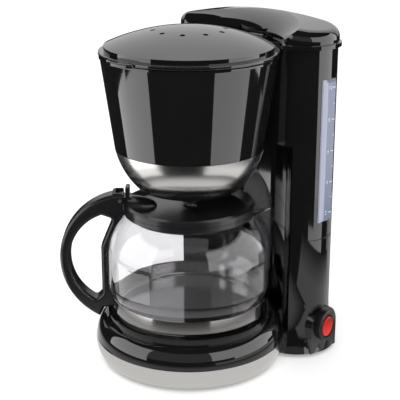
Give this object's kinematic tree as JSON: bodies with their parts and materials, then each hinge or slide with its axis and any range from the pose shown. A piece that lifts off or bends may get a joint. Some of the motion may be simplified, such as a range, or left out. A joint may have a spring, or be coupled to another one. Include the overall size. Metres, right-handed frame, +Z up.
{
  "type": "drip coffee maker",
  "caption": "Drip coffee maker with a round heated base, water tower with level gauge, conical brew head and glass carafe with a curved handle.",
  "frame": {"origin": "bottom centre of the bounding box, on the table", "axes": "+Z up, front towards -Y, right +X"},
  "size_m": [0.1868, 0.2126, 0.3054],
  "materials": {
    "gloss_black": "high-gloss black moulded plastic",
    "soft_black": "semi-matte black moulded plastic",
    "satin_steel": "brushed satin steel sheet",
    "bright_steel": "polished steel strip",
    "zinc_steel": "zinc-plated steel",
    "carafe_clear": "clear heat-proof glass",
    "milky_window": "milky translucent plastic",
    "tank_white": "natural translucent plastic",
    "plate_enamel": "dark non-stick coated steel",
    "cast_aluminium": "extruded aluminium",
    "silicone_clear": "translucent silicone rubber",
    "rubber_black": "black rubber",
    "rocker_red": "translucent red plastic",
    "terminal_brass": "tinned brass"
  },
  "bodies": {
    "machine": {"base_housing": "gloss_black", "lower_housing": "gloss_black", "base_plate": "soft_black", "base_band": "satin_steel", "feet": "rubber_black", "base_screws": "zinc_steel", "warming_plate": "plate_enamel", "plate_gasket": "silicone_clear", "heating_element": "cast_aluminium", "heater_bracket": "zinc_steel", "thermostat": "zinc_steel", "thermal_fuse": "terminal_brass", "cold_water_hose": "silicone_clear", "hot_water_hose": "silicone_clear", "hose_clips": "zinc_steel", "check_valve": "soft_black", "tank_housing": "gloss_black", "water_tank": "tank_white", "level_gauge": "milky_window", "spray_arm": "soft_black", "brew_head": "gloss_black", "head_bowl": "satin_steel", "switch_body": "soft_black", "switch_terminals": "terminal_brass", "cord_gland": "rubber_black", "head_screws": "zinc_steel", "head_lid_pin": "zinc_steel", "tank_lid_pin": "zinc_steel"},
    "basket_cover": {"head_lid": "gloss_black"},
    "tank_cover": {"tank_lid": "gloss_black"},
    "rocker": {"switch_rocker": "rocker_red"},
    "filter": {"filter_holder": "soft_black", "valve_spring": "zinc_steel"},
    "plunger": {"valve_plunger": "soft_black", "valve_seal": "silicone_clear"},
    "ball": {"check_ball": "zinc_steel"},
    "carafe": {"carafe_glass": "carafe_clear", "carafe_band": "bright_steel", "carafe_handle": "soft_black", "handle_screw": "zinc_steel", "carafe_lid_pin": "zinc_steel"},
    "carafe_cover": {"carafe_lid": "soft_black"}
  },
  "joints": [
    {"name": "basket_lid_hinge", "type": "hinge", "parent": "machine", "child": "basket_cover", "pos_m": [-0.00186, 0.0583, 0.286], "axis": [-1, 0, 0], "range_deg": [0, 70]},
    {"name": "tank_lid_hinge", "type": "hinge", "parent": "machine", "child": "tank_cover", "pos_m": [-0.00186, 0.1033, 0.2865], "axis": [-1, 0, 0], "range_deg": [0, 85]},
    {"name": "switch_tip", "type": "hinge", "parent": "machine", "child": "rocker", "pos_m": [0.08864, 0.0676, 0.028], "axis": [0, -1, 0], "range_deg": [0, 12]},
    {"name": "carafe_slide", "type": "slide", "parent": "machine", "child": "carafe", "axis": [0, -1, 0], "range_m": [0, 0.18]},
    {"name": "carafe_lid_hinge", "type": "hinge", "parent": "carafe", "child": "carafe_cover", "pos_m": [-0.04458, -0.06194, 0.1505], "axis": [0.7193, -0.6947, 0], "range_deg": [0, 4]},
    {"name": "filter_lift", "type": "slide", "parent": "machine", "child": "filter", "axis": [0, 0, 1], "range_m": [0, 0.006]},
    {"name": "drip_valve_lift", "type": "slide", "parent": "filter", "child": "plunger", "axis": [0, 0, 1], "range_m": [0, 0.004], "stiffness_N_per_m": 120, "springref_m": -0.004, "deforming": ["valve_spring"]},
    {"name": "check_ball_lift", "type": "slide", "parent": "machine", "child": "ball", "axis": [0, 0, 1], "range_m": [0, 0.0035]}
  ]
}
